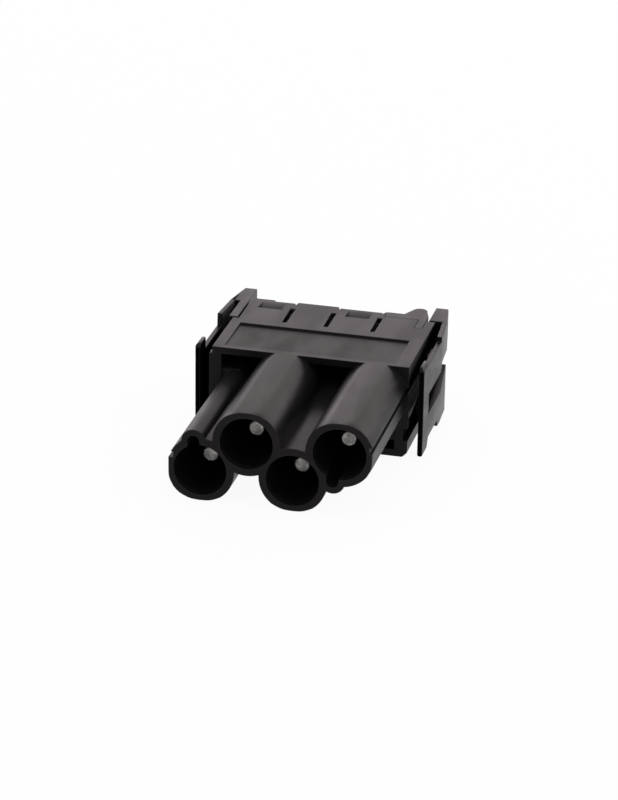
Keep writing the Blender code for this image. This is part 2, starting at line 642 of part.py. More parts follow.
def cut_arm_hollow(arm, name, side):
    """A hollow in the arm's outer face, deepest under the upper arm and flush at its lower edge."""
    back = ARM_BACK + OVERSHOOT
    cleft_middle = CLEFT_TOP - CLEFT_TIP / 2
    below = HOLLOW_BOTTOM + OVERSHOOT
    outline = [
        (HOLLOW_FRONT + LATCH_FRONT, -below),
        (back, -below),
        (back, cleft_middle),
        (CLEFT_FRONT + RIB_SETBACK, cleft_middle),
        (STEP_Y, HOLLOW_TOP),
        (HOLLOW_FRONT + LATCH_FRONT, HOLLOW_TOP),
    ]
    reach = sorted((side * LATCH_INNER, side * (LATCH_OUTER + OVERSHOOT)))
    hollow = plate(name + "_hollow", outline, "X", *reach)
    slope = HOLLOW_DEPTH / (HOLLOW_TOP + HOLLOW_BOTTOM)
    outside = LATCH_OUTER + 2 * OVERSHOOT
    above = CLEFT_TOP + OVERSHOOT
    ramp = [
        (LATCH_OUTER - slope * (above + HOLLOW_BOTTOM), above),
        (LATCH_OUTER + 2 * slope * OVERSHOOT, -HOLLOW_BOTTOM - 2 * OVERSHOOT),
        (outside, -HOLLOW_BOTTOM - 2 * OVERSHOOT),
        (outside, above),
    ]
    keep_common(hollow, plate(name + "_ramp", [(side * x, z) for x, z in ramp], "Y", LATCH_FRONT, BEHIND))
    cut(arm, hollow)


def cut_plate_lean(arm, name, side, width):
    """The slope on the outer side of the upright plate's top."""
    height = LEAN_RISE * width
    lean = [
        (LATCH_OUTER - 2 * width, PLATE_TOP + height),
        (LATCH_OUTER + width, PLATE_TOP - 2 * height),
        (LATCH_OUTER + width, PLATE_TOP + height),
    ]
    lean = [(side * x, z) for x, z in lean]
    cut(arm, plate(name + "_lean", lean, "Y", LATCH_FRONT - OVERSHOOT, TOE_BACK + OVERSHOOT))


def arm_plan_outline(side):
    """A latch arm seen from above: it leans in towards its root."""
    points = [
        (LATCH_INNER, LATCH_FRONT - OVERSHOOT),
        (LATCH_OUTER, LATCH_FRONT - OVERSHOOT),
        (LATCH_OUTER, STEP_Y),
        (LATCH_OUTER - ARM_ROOT_INSET, ARM_BACK),
        (LATCH_INNER - ARM_ROOT_INSET, ARM_BACK),
        (LATCH_INNER, STEP_Y),
    ]
    return [(side * x, y) for x, y in points]


def hinge_point(side):
    """The middle of the seam between a latch arm and its base, on the upright axis of its flexing."""
    return Vector((side * ((LATCH_INNER + LATCH_OUTER) / 2 - ARM_ROOT_INSET), SEAM_Y, 0.0))


def make_latch_arm(name, side, rail_drop, lean, material):
    reach = sorted((side * (LATCH_INNER - OVERSHOOT), side * (LATCH_OUTER + OVERSHOOT)))
    arm = plate(name, arm_side_outline(rail_drop), "X", *reach)
    plan = plate(name + "_plan", arm_plan_outline(side), "Z", -MODULE_HEIGHT, MODULE_HEIGHT)
    keep_common(arm, plan)
    cut_arm_hollow(arm, name, side)
    cut_plate_lean(arm, name, side, lean)
    set_origin(arm, hinge_point(side))
    make_part(arm, material)
    return arm


def make_latch_base(name, side, tongue_top, material):
    """The fixed root of a latch: a block behind the shell and a tongue in the shell's side."""
    outer_front = LATCH_OUTER - ARM_ROOT_INSET
    block = [
        (BASE_INNER, BASE_FRONT),
        (outer_front, BASE_FRONT),
        (outer_front - BASE_REAR_INSET, BASE_BACK),
        (BASE_INNER, BASE_BACK),
    ]
    base = plate(name, [(side * x, y) for x, y in block], "Z", BASE_FLOOR, HALF_HEIGHT)
    low_x, high_x = sorted((side * BASE_INNER, side * (HALF_WIDTH + STRIP_PROUD)))
    tongue_high = (high_x, BASE_FRONT + TONGUE_ROOT, tongue_top)
    add(base, box(name + "_tongue", (low_x, TONGUE_FRONT, TONGUE_FLOOR), tongue_high))
    make_part(base, material)
    return base


def contact_mesh():
    """A turned contact as a profile round its axis, tip first, with a hollow crimp barrel."""
    tip = CONTACT_TIP
    r = PIN_TIP_ROUND
    tip_round = arc((PIN_R - r, tip + r), r, -90, 0, 3)
    profile = [
        (0.0, tip),
        *tip_round,
        (PIN_R, FLANGE_FRONT),
        (FLANGE_R, FLANGE_FRONT),
        (FLANGE_R, NECK_FRONT),
        (NECK_R, NECK_FRONT),
        (NECK_R, NECK_BACK),
        (FLANGE_R, NECK_BACK),
        (FLANGE_R, BARREL_FRONT),
        (BARREL_R, BARREL_FRONT),
        (BARREL_R, CONTACT_BACK),
        (BARREL_BORE_R, CONTACT_BACK),
        (BARREL_BORE_R, CONTACT_BACK - BARREL_BORE_DEPTH),
        (0.0, CONTACT_BACK - BARREL_BORE_DEPTH - DRILL_POINT),
    ]
    mesh = bpy.data.meshes.new("contact_profile")
    points = [(radius, 0.0, -y) for radius, y in profile]
    mesh.from_pydata(points, [(i, i + 1) for i in range(len(points) - 1)], [])
    blank = add_object("contact_blank", mesh)
    spin = blank.modifiers.new("turn", "SCREW")
    spin.axis = "Z"
    spin.angle = math.tau
    spin.steps = SMALL_SIDES
    spin.render_steps = SMALL_SIDES
    spin.use_merge_vertices = True
    spin.merge_threshold = WELD
    return baked_mesh(blank, "contact", Matrix.Rotation(math.pi / 2, 4, "X"))


def baked_mesh(blank, name, turn):
    """The evaluated mesh of a blank that several pieces share, turned into place."""
    bpy.context.view_layer.update()
    evaluated = blank.evaluated_get(bpy.context.evaluated_depsgraph_get())
    mesh = bpy.data.meshes.new_from_object(evaluated)
    mesh.name = name
    mesh.transform(turn)
    bpy.data.objects.remove(blank, do_unlink=True)
    return mesh


def clip_mesh():
    """A split sleeve round a contact's neck with two lances that open towards the rear."""
    front = NECK_FRONT + CLEARANCE
    back = NECK_BACK - CLEARANCE
    open_half = CLIP_OPENING_DEG / 2
    outer = arc((0, 0), CLIP_OUTER_R, open_half, 360 - open_half, SMALL_SIDES)
    inner = arc((0, 0), CLIP_INNER_R, 360 - open_half, open_half, SMALL_SIDES)
    sleeve = plate("clip_blank", outer + inner, "Y", front, back)
    lance_front = front + CLEARANCE
    for side in (-1, 1):
        lance = [
            (lance_front, side * LANCE_ROOT_R),
            (back, side * (LANCE_ROOT_R + LANCE_FLARE)),
            (back, side * LANCE_TIP_R),
            (lance_front, side * (LANCE_ROOT_R + CLIP_STRIP / 3)),
        ]
        add(sleeve, plate(f"clip_lance_{side}", lance, "X", -LANCE_WIDTH / 2, LANCE_WIDTH / 2))
    return baked_mesh(sleeve, "clip", Matrix.Identity(4))


def place_on_tubes(name, mesh, material):
    for i, (x, z) in enumerate(TUBE_CENTRES, 1):
        obj = add_object(f"{name}_{i}", mesh)
        obj.location = (x, 0.0, z)
        make_part(obj, material)


corner_tree = corner_shading()
shell_plastic = finish_material("shell_plastic", (0.028, 0.027, 0.028), 0.5, 0.0)
carrier_plastic = finish_material("carrier_plastic", (0.024, 0.024, 0.025), 0.55, 0.0)
latch_plastic = finish_material("latch_plastic", (0.030, 0.029, 0.030), 0.5, 0.0)
lock_plastic = finish_material("lock_plastic", (0.030, 0.029, 0.030), 0.5, 0.0)
contact_metal = finish_material("contact_metal", (0.62, 0.61, 0.59), 0.35, 1.0)
clip_metal = finish_material("clip_metal", (0.55, 0.55, 0.54), 0.35, 1.0)

place_on_tubes("contact_pin", contact_mesh(), contact_metal)
place_on_tubes("retaining_clip", clip_mesh(), clip_metal)
make_shell(shell_plastic)
make_carrier(carrier_plastic)
make_lock(lock_plastic)
make_latch_base("latch_base_left", -1, HALF_HEIGHT, latch_plastic)
make_latch_base("latch_base_right", 1, RIGHT_TONGUE_TOP, latch_plastic)
make_latch_arm("latch_arm_left", -1, RAIL_DROP_LEFT, LEFT_LEAN, latch_plastic)
make_latch_arm("latch_arm_right", 1, RAIL_DROP_RIGHT, RIGHT_LEAN, latch_plastic)
bpy.context.view_layer.update()
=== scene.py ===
import json
import math

import bmesh
import bpy
from mathutils import Matrix, Vector
from mathutils.bvhtree import BVHTree
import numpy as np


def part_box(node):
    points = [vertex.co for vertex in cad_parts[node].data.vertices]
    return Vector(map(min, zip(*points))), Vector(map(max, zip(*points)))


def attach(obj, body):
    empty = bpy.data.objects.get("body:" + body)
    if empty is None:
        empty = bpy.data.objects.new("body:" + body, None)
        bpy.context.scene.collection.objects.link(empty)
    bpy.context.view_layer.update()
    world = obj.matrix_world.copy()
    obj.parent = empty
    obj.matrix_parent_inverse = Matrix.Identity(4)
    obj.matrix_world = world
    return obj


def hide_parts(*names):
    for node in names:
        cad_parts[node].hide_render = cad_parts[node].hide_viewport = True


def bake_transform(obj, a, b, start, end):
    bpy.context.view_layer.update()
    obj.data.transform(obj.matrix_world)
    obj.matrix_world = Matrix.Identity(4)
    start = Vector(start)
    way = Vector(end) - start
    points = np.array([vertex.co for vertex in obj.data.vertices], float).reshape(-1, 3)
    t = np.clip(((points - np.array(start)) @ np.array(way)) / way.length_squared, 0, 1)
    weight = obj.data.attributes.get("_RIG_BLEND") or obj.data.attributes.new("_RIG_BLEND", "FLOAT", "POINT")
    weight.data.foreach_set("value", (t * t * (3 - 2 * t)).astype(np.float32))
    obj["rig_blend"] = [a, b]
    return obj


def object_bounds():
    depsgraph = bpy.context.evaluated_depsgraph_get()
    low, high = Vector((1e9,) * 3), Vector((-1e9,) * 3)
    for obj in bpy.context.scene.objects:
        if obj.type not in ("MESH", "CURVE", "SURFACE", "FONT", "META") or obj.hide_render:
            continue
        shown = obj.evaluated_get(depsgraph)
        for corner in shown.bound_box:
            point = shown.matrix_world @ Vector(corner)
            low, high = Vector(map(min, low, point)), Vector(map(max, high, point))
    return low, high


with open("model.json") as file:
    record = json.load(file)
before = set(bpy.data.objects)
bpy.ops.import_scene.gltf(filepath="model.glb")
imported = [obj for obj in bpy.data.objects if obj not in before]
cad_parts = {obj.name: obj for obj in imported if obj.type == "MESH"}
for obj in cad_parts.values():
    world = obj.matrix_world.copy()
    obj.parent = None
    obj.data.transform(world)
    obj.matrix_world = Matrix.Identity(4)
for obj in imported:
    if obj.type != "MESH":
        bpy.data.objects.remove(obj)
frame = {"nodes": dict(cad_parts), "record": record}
cadLow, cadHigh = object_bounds()
scene = bpy.context.scene
scene.view_settings.view_transform = "Standard"
mm = 0.001
print("frame loaded,", len(frame["nodes"]), "nodes")


# Camera, fitted to the photograph's edges and tube mouths
cameraView = {
    "place": (0.10888, -0.44878, 0.20829),
    "azimuth": 13.635,  # degrees round from the front towards +X
    "elevation": 23.526,
    "roll": 0.92,
    "lens": 150.96,
    "sensor": 36.0,
    "clip": 0.01,
}


def makeCamera(view):
    turn, rise, roll = (math.radians(view[key]) for key in ("azimuth", "elevation", "roll"))
    back = Vector((math.sin(turn) * math.cos(rise), -math.cos(turn) * math.cos(rise), math.sin(rise)))
    level = Vector((math.cos(turn), math.sin(turn), 0.0))
    upright = back.cross(level)
    right = math.cos(roll) * level + math.sin(roll) * upright
    up = math.cos(roll) * upright - math.sin(roll) * level
    data = bpy.data.cameras.new("photoCamera")
    data.lens = view["lens"]
    data.sensor_width = view["sensor"]
    data.clip_start = view["clip"]
    camera = bpy.data.objects.new("photoCamera", data)
    axes = Matrix((right, up, back)).transposed().to_4x4()
    camera.matrix_world = Matrix.Translation(view["place"]) @ axes
    scene.collection.objects.link(camera)
    scene.camera = camera


makeCamera(cameraView)
print("camera set")


# Small helpers for node trees
def link(tree, source, target):
    tree.links.new(source, target)


def calc(tree, operation, first, second=None, clamp=False):
    node = tree.nodes.new("ShaderNodeMath")
    node.operation = operation
    node.use_clamp = clamp
    for socket, value in zip(node.inputs, (first, second)):
        if isinstance(value, (int, float)):
            socket.default_value = value
        elif value is not None:
            link(tree, value, socket)
    return node.outputs[0]


def ramp(tree, value, low, high, outLow=0.0, outHigh=1.0):
    node = tree.nodes.new("ShaderNodeMapRange")
    node.interpolation_type = "SMOOTHSTEP"
    link(tree, value, node.inputs["Value"])
    for name, number in (("From Min", low), ("From Max", high), ("To Min", outLow), ("To Max", outHigh)):
        node.inputs[name].default_value = number
    return node.outputs["Result"]


def blendColour(tree, mask, first, second):
    node = tree.nodes.new("ShaderNodeMix")
    node.data_type = "RGBA"
    link(tree, mask, node.inputs["Factor"])
    for socket, value in ((node.inputs["A"], first), (node.inputs["B"], second)):
        if isinstance(value, tuple):
            socket.default_value = (*value, 1.0)
        else:
            link(tree, value, socket)
    return node.outputs["Result"]


def newGroup(name, inputs, outputs):
    group = bpy.data.node_groups.new(name, "ShaderNodeTree")
    for label, value in inputs.items():
        socket = group.interface.new_socket(label, in_out="INPUT", socket_type="NodeSocketFloat")
        socket.default_value = value
    for label in outputs:
        group.interface.new_socket(label, in_out="OUTPUT", socket_type="NodeSocketFloat")
    return group, group.nodes.new("NodeGroupInput").outputs, group.nodes.new("NodeGroupOutput").inputs


def noise(tree, place, scale, detail=2.0, roughness=0.5):
    node = tree.nodes.new("ShaderNodeTexNoise")
    link(tree, place, node.inputs["Vector"])
    node.inputs["Detail"].default_value = detail
    node.inputs["Roughness"].default_value = roughness
    if isinstance(scale, (int, float)):
        node.inputs["Scale"].default_value = scale
    else:
        link(tree, scale, node.inputs["Scale"])
    return node.outputs["Fac"]


def attribute(tree, name):
    node = tree.nodes.new("ShaderNodeAttribute")
    node.attribute_name = name
    return node.outputs["Fac"]


def objectPlace(tree):
    return tree.nodes.new("ShaderNodeTexCoord").outputs["Object"]


def stretched(tree, place, factors):
    node = tree.nodes.new("ShaderNodeVectorMath")
    node.operation = "MULTIPLY"
    link(tree, place, node.inputs[0])
    node.inputs[1].default_value = factors
    return node.outputs[0]


# Spark-eroded mould grain with flow patches; sizes in millimetres
grainMix = {"fine": 0.65, "coarse": 0.35, "coarseScale": 0.35, "flow": (1.0, 0.35, 1.0)}


def makeMouldGrain():
    group, inputs, outputs = newGroup("mouldGrain", {"Grain": 0.1, "Patch": 6.0}, ("Height", "Patch"))
    place = objectPlace(group)
    fineScale = calc(group, "DIVIDE", 1.0 / mm, inputs["Grain"])
    coarseScale = calc(group, "MULTIPLY", fineScale, grainMix["coarseScale"])
    fine = noise(group, place, fineScale, detail=3.0, roughness=0.6)
    coarse = noise(group, place, coarseScale)
    finePart = calc(group, "MULTIPLY", fine, grainMix["fine"])
    coarsePart = calc(group, "MULTIPLY", coarse, grainMix["coarse"])
    link(group, calc(group, "ADD", finePart, coarsePart), outputs["Height"])
    flow = stretched(group, place, grainMix["flow"])
    patchScale = calc(group, "DIVIDE", 1.0 / mm, inputs["Patch"])
    patch = noise(group, flow, patchScale, detail=4.0, roughness=0.62)
    link(group, ramp(group, patch, low=0.3, high=0.7), outputs["Patch"])
    return group


# Rubbed edges, from the rim attribute that the rounding leaves on each piece
def makeEdgeRub():
    group, inputs, outputs = newGroup("edgeRub", {"Amount": 0.6, "Patch": 1.2}, ("Mask",))
    patchScale = calc(group, "DIVIDE", 1.0 / mm, inputs["Patch"])
    broken = noise(group, objectPlace(group), patchScale, detail=3.0, roughness=0.65)
    kept = ramp(group, broken, low=0.35, high=0.65, outLow=0.25)
    edge = calc(group, "MULTIPLY", attribute(group, "rim"), kept)
    link(group, calc(group, "MULTIPLY", edge, inputs["Amount"], clamp=True), outputs["Mask"])
    return group


# Light dust that settles on faces that look up
dustMix = {"flecks": 0.8, "film": 0.2, "driftScale": 0.12}


def makeRestDust():
    group, inputs, outputs = newGroup("restDust", {"Amount": 0.2, "Fleck": 0.25}, ("Mask",))
    normal = group.nodes.new("ShaderNodeNewGeometry").outputs["Normal"]
    split = group.nodes.new("ShaderNodeSeparateXYZ")
    link(group, normal, split.inputs[0])
    facing = ramp(group, split.outputs["Z"], low=0.35, high=0.95)
    place = objectPlace(group)
    flecks = noise(group, place, calc(group, "DIVIDE", 1.0 / mm, inputs["Fleck"]))
    drift = noise(group, place, dustMix["driftScale"] / mm, detail=3.0)
    shownFlecks = ramp(group, flecks, low=0.5, high=0.75)
    spread = calc(group, "MULTIPLY", shownFlecks, ramp(group, drift, low=0.35, high=0.7))
    film = calc(group, "ADD", calc(group, "MULTIPLY", spread, dustMix["flecks"]), dustMix["film"])
    settled = calc(group, "MULTIPLY", facing, film)
    link(group, calc(group, "MULTIPLY", settled, inputs["Amount"], clamp=True), outputs["Mask"])
    return group


# Lathe rings on turned metal and fine streaks on rolled strip
def makeToolMarks():
    results = ("Height", "Streak", "Stain", "Speck")
    group, inputs, outputs = newGroup("toolMarks", {"Pitch": 0.05, "Stain": 1.5, "Speck": 0.2}, results)
    place = objectPlace(group)
    split = group.nodes.new("ShaderNodeSeparateXYZ")
    link(group, place, split.inputs[0])
    along = group.nodes.new("ShaderNodeCombineXYZ")
    link(group, attribute(group, "turnRadius"), along.inputs[0])
    link(group, split.outputs["Y"], along.inputs[1])
    pitchScale, stainScale, speckScale = (
        calc(group, "DIVIDE", 1.0 / mm, inputs[label]) for label in ("Pitch", "Stain", "Speck")
    )
    rings = noise(group, along.outputs[0], pitchScale, roughness=0.6)
    link(group, rings, outputs["Height"])
    link(group, ramp(group, rings, low=0.35, high=0.65), outputs["Streak"])
    stain = noise(group, place, stainScale, detail=4.0, roughness=0.6)
    link(group, ramp(group, stain, low=0.35, high=0.7), outputs["Stain"])
    speck = noise(group, place, speckScale, detail=3.0, roughness=0.7)
    link(group, ramp(group, speck, low=0.42, high=0.62), outputs["Speck"])
    return group


mouldGrain = makeMouldGrain()
edgeRub = makeEdgeRub()
restDust = makeRestDust()
toolMarks = makeToolMarks()
print("shared effects built")


def placeGroup(tree, group, values):
    node = tree.nodes.new("ShaderNodeGroup")
    node.node_tree = group
    for label, value in values.items():
        node.inputs[label].default_value = value
    return node.outputs


def addBump(tree, shader, height, strength, depth):
    bump = tree.nodes.new("ShaderNodeBump")
    bump.inputs["Strength"].default_value = strength
    bump.inputs["Distance"].default_value = depth * mm
    link(tree, height, bump.inputs["Height"])
    link(tree, bump.outputs["Normal"], shader.inputs["Normal"])


def mouldedPlastic(name, look):
    material = bpy.data.materials.new(name)
    material.use_nodes = True
    tree = material.node_tree
    shader = tree.nodes["Principled BSDF"]
    shader.inputs["Specular IOR Level"].default_value = look["gloss"]
    shader.inputs["Specular Tint"].default_value = (*look["sheenTint"], 1.0)
    grain = placeGroup(tree, mouldGrain, {"Grain": look["grain"], "Patch": look["patch"]})
    rub = placeGroup(tree, edgeRub, {"Amount": look["rub"]})
    dust = placeGroup(tree, restDust, {"Amount": look["dust"]})
    body = blendColour(tree, grain["Patch"], look["deep"], look["pale"])
    worn = blendColour(tree, rub["Mask"], body, look["rubbed"])
    dusty = blendColour(tree, dust["Mask"], worn, look["dustColour"])
    # The matt attribute roughens the skin and paints shade: it blends the colour towards the painted shade
    # colour
    matt = attribute(tree, "matt")
    link(tree, blendColour(tree, matt, dusty, look["paintedShadeColour"]), shader.inputs["Base Color"])
    satin = ramp(tree, grain["Patch"], 0.0, 1.0, look["smooth"], look["rough"])
    polished = calc(tree, "SUBTRACT", satin, calc(tree, "MULTIPLY", rub["Mask"], look["polish"]))
    dulled = calc(tree, "ADD", polished, calc(tree, "MULTIPLY", dust["Mask"], look["dustDull"]), clamp=True)
    roughened = calc(tree, "ADD", dulled, calc(tree, "MULTIPLY", matt, look["mattRough"]), clamp=True)
    link(tree, roughened, shader.inputs["Roughness"])
    addBump(tree, shader, grain["Height"], look["bump"], look["bumpDepth"])
    return material


def workedMetal(name, look):
    material = bpy.data.materials.new(name)
    material.use_nodes = True
    tree = material.node_tree
    shader = tree.nodes["Principled BSDF"]
    shader.inputs["Metallic"].default_value = 1.0
    markSizes = {"Pitch": look["pitch"], "Stain": look["stain"], "Speck": look["speck"]}
    marks = placeGroup(tree, toolMarks, markSizes)
    rub = placeGroup(tree, edgeRub, {"Amount": look["rub"]})
    plated = blendColour(tree, marks["Streak"], look["deep"], look["pale"])
    flecked = blendColour(tree, marks["Speck"], plated, look["fleck"])
    aged = blendColour(tree, marks["Stain"], flecked, look["tarnish"])
    bright = blendColour(tree, rub["Mask"], aged, look["rubbed"])
    link(tree, bright, shader.inputs["Base Color"])
    satin = ramp(tree, marks["Stain"], 0.0, 1.0, look["smooth"], look["rough"])
    link(tree, satin, shader.inputs["Roughness"])
    addBump(tree, shader, marks["Height"], look["bump"], look["bumpDepth"])
    return material


# Finishes; sizes in millimetres
shellFinish = {
    "deep": (0.0062, 0.0057, 0.0057),
    "pale": (0.0086, 0.0079, 0.0079),
    "rubbed": (0.022, 0.020, 0.020),
    "dustColour": (0.050, 0.046, 0.044),
    "gloss": 0.10,
    "sheenTint": (1.0, 0.93, 0.93),
    "smooth": 0.31,
    "rough": 0.41,
    "polish": 0.08,
    "grain": 0.11,
    "patch": 7.0,
    "bump": 0.25,
    "bumpDepth": 0.0275,
    "rub": 0.5,
    "dust": 0.12,
    "dustDull": 0.3,
    "paintedShadeColour": (0.0030, 0.0027, 0.0027),  # painted shade in bores, pockets and hollows and on shaded faces
    "mattRough": 0.4,
}
carrierFinish = {
    **shellFinish,
    "deep": (0.0056, 0.0053, 0.0053),
    "smooth": 0.42,
    "rough": 0.52,
    "dust": 0.1,
}
latchFinish = {
    **shellFinish,
    "deep": (0.0014, 0.0012, 0.0012),
    "pale": (0.0040, 0.0036, 0.0036),
    "gloss": 0.12,
    "smooth": 0.29,
    "rough": 0.39,
    "patch": 4.0,
}
paintedArmLightShadeFinish = {
    **latchFinish,  # rough faces of an arm, in a pale painted-light tone that fades into painted shade
    "deep": (0.050, 0.047, 0.047),
    "pale": (0.070, 0.066, 0.066),
    "gloss": 0.0,
    "smooth": 0.6,
    "rough": 0.7,
    "dust": 0.0,
}
paintedWallLightShadeFinish = {
    **shellFinish,  # the wall beside an arm, in a pale painted-light tone that fades into painted shade
    "deep": (0.080, 0.074, 0.074),
    "pale": (0.100, 0.093, 0.093),
    "paintedShadeColour": (0.0035, 0.0031, 0.0031),
    "gloss": 0.0,
    "smooth": 0.6,
    "rough": 0.7,
    "dust": 0.0,
}
lockFinish = {
    **shellFinish,
    "deep": (0.0078, 0.0072, 0.0072),
    "gloss": 0.12,
    "smooth": 0.30,
    "rough": 0.39,
    "patch": 3.5,
}
contactFinish = {
    "deep": (0.17, 0.165, 0.16),
    "pale": (0.24, 0.235, 0.23),
    "fleck": (0.47, 0.46, 0.45),
    "tarnish": (0.18, 0.172, 0.166),
    "rubbed": (0.52, 0.51, 0.50),
    "smooth": 0.36,
    "rough": 0.52,
    "pitch": 0.06,
    "stain": 0.9,
    "speck": 0.2,
    "bump": 0.3,
    "bumpDepth": 0.018,
    "rub": 0.8,
}
clipFinish = {
    **contactFinish,
    "deep": (0.42, 0.42, 0.42),
    "tarnish": (0.33, 0.32, 0.31),
    "pitch": 0.12,
    "bumpDepth": 0.036,
}
finishes = {
    "shell_plastic": mouldedPlastic("shellPlastic", shellFinish),
    "carrier_plastic": mouldedPlastic("carrierPlastic", carrierFinish),
    "latch_plastic": mouldedPlastic("latchPlastic", latchFinish),
    "lock_plastic": mouldedPlastic("lockPlastic", lockFinish),
    "contact_silver": workedMetal("contactSilver", contactFinish),
    "clip_steel": workedMetal("clipSteel", clipFinish),
}
# Pale painted-light copies of the latch and shell plastics, which fade into painted shade through the matt
# attribute
paintedArmLightShade = mouldedPlastic("paintedArmLightShade", paintedArmLightShadeFinish)
paintedWallLightShade = mouldedPlastic("paintedWallLightShade", paintedWallLightShadeFinish)
print("finishes made:", ", ".join(finishes))


# Rounding: a copy of a node's mesh, with its facets joined and its edges rounded as a mould leaves them
cornerAngle = math.radians(38)
flatAngle = math.radians(0.6)
sharpAngle = math.radians(42)  # sharper edges keep a hard line in the shading
weldReach = 0.002
facingShare = 0.9  # a normal's share along an axis, for a face that looks along it
sameWay = 0.999  # a share for two directions that count as one
lengthShare = 0.99  # an edge's share along Y, for one that runs along a tube
lengthLeast = 0.1


def nodeShape(node, weld):
    source = frame["nodes"][node].data
    plain = bpy.data.meshes.new("plain")
    plain.from_pydata([v.co for v in source.vertices], [], [p.vertices[:] for p in source.polygons])
    shape = bmesh.new()
    shape.from_mesh(plain)
    bpy.data.meshes.remove(plain)
    bmesh.ops.remove_doubles(shape, verts=shape.verts, dist=weld * mm)
    shape.verts.layers.float.new("rim")
    # matt: a share of rough skin and painted shade
    shape.loops.layers.float.new("matt")
    return shape


def joinFacets(shape):
    bmesh.ops.dissolve_degenerate(shape, edges=shape.edges, dist=weldReach * mm)
    bmesh.ops.dissolve_limit(shape, angle_limit=flatAngle, verts=shape.verts, edges=shape.edges)


def corners(shape):
    return [e for e in shape.edges if len(e.link_faces) == 2 and e.calc_face_angle(0.0) > cornerAngle]


def lengthwise(shape):
    return [e for e in shape.edges if abs(e.verts[0].co.y - e.verts[1].co.y) > lengthLeast * mm]


def within(value, limits):
    return limits[0] * mm < value < limits[1] * mm


def roundEdges(shape, edges, width, steps):
    rim = shape.verts.layers.float["rim"]
    made = bmesh.ops.bevel(
        shape,
        geom=edges,
        offset=width * mm,
        offset_type="OFFSET",
        segments=steps,
        profile=0.5,
        affect="EDGES",
        clamp_overlap=False,
        loop_slide=True,
    )
    strip = set(made["faces"])
    for vert in made["verts"]:
        if all(face in strip for face in vert.link_faces):
            vert[rim] = 1.0


def makePiece(name, shape, slot):
    mesh = bpy.data.meshes.new(name)
    bmesh.ops.recalc_face_normals(shape, faces=shape.faces)
    shape.to_mesh(mesh)
    shape.free()
    mesh.shade_smooth()
    mesh.set_sharp_from_angle(angle=sharpAngle)
    mesh.materials.append(finishes[slot])
    piece = bpy.data.objects.new(name, mesh)
    scene.collection.objects.link(piece)
    normals = piece.modifiers.new("evenShading", "WEIGHTED_NORMAL")
    normals.keep_sharp = True
    return piece


def dressNode(name, node, look):
    shape = nodeShape(node, weldReach)
    joinFacets(shape)
    roundEdges(shape, corners(shape), look["edge"], look["steps"])
    piece = makePiece(name, shape, look["slot"])
    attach(piece, look["body"])
    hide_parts(node)
    return piece


# Front shell: the tube mouths get round lips, and the tube crowns run flush into the roof
shellLook = {
    "node": "front_shell",
    "body": "housing",
    "slot": "shell_plastic",
    "edge": 0.12,
    "steps": 2,
    "outerLip": 0.16,
    "boreLip": 0.12,
    "lipSteps": 4,
    "insetGuard": 0.35,  # keeps a lip's inset short at sharp corners
    "mouthRun": 1.3,  # the flats' corners soften over this length behind the mouths
    "splitReach": 0.4,
    "splitShare": 0.33,
    "bluntTurns": (15.5, 36.0),  # degrees, at the corners that soften
    "notchTurn": -15.0,
    "softReach": 1.2,
    "softGap": 0.5,
    "softPasses": 4,
    "softPull": 0.5,
    "mouthSnap": 0.12,
    "mouthSlack": 0.001,
    "roofSnap": 0.06,
    "shortest": 0.06,
    "lockSeam": 0.36,  # faces this near the lock are its bed
    "bedClose": 0.22,  # and move this far towards it
    "bedUpright": 0.1,
    "bedGuard": 0.5,
    "boreBack": -3.0,  # the bores are in front of this
    "boreReach": 0.2,
    "pocketDepth": (0.02, 0.75),
    "pocketHeight": (2.6, 4.7),
    "pocketRun": (-0.7, 7.4),
    "panelBack": 9.5,
    "panelDepth": (0.1, 0.45),
    # a little rough skin and painted shade on the roof's panel
    "panelRoughShade": 0.25,
    "panelLift": 0.1,  # the panel's back end, raised from the solid's floor
    "liftDepth": (0.3, 0.5),
    "liftRun": 0.3,
    "wallDepth": 0.2,
    "wallFront": 0.5,
    "wallLow": 7.5,
    "wallFade": 2.4,  # painted shade on the wall beside the arm deepens downwards over this height
    "wallRun": 20.0,  # and towards the back over this length
    "rim": 0.3,
    "crease": 12.0,  # degrees, along the tubes' flats
    "creaseLength": 5.0,
}


def tubeAxes():
    openings = frame["record"]["physics"]["openings"]
    boxes = [o["box_m"] for o in openings if o["name"].startswith("shroud_mouth")]
    return [(Vector(low) + Vector(high)) / 2 for low, high in boxes]


def snapShell(shape, look):
    low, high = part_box(look["node"])
    for vert in shape.verts:
        if vert.co.y - low.y < look["mouthSnap"] * mm:
            vert.co.y = low.y
        if high.z - vert.co.z < look["roofSnap"] * mm:
            vert.co.z = high.z
        if vert.co.z - low.z < look["roofSnap"] * mm:
            vert.co.z = low.z
    bmesh.ops.remove_doubles(shape, verts=shape.verts, dist=look["shortest"] * mm)


def liftPanel(shape, look):
    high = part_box(look["node"])[1]
    for vert in shape.verts:
        sunk = within(high.z - vert.co.z, look["liftDepth"])
        if sunk and abs(vert.co.y - look["panelBack"] * mm) < look["liftRun"] * mm:
            vert.co.z += look["panelLift"] * mm


lockMesh = frame["nodes"]["rear_lock"].data
lockFaces = [p.vertices[:] for p in lockMesh.polygons]
lockSurface = BVHTree.FromPolygons([v.co for v in lockMesh.vertices], lockFaces)
lockLow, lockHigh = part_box("rear_lock")


def besideLock(point, reach):
    nearby = point.y < lockHigh.y and point.z > lockLow.z
    return nearby and lockSurface.find_nearest(point, reach)[0] is not None


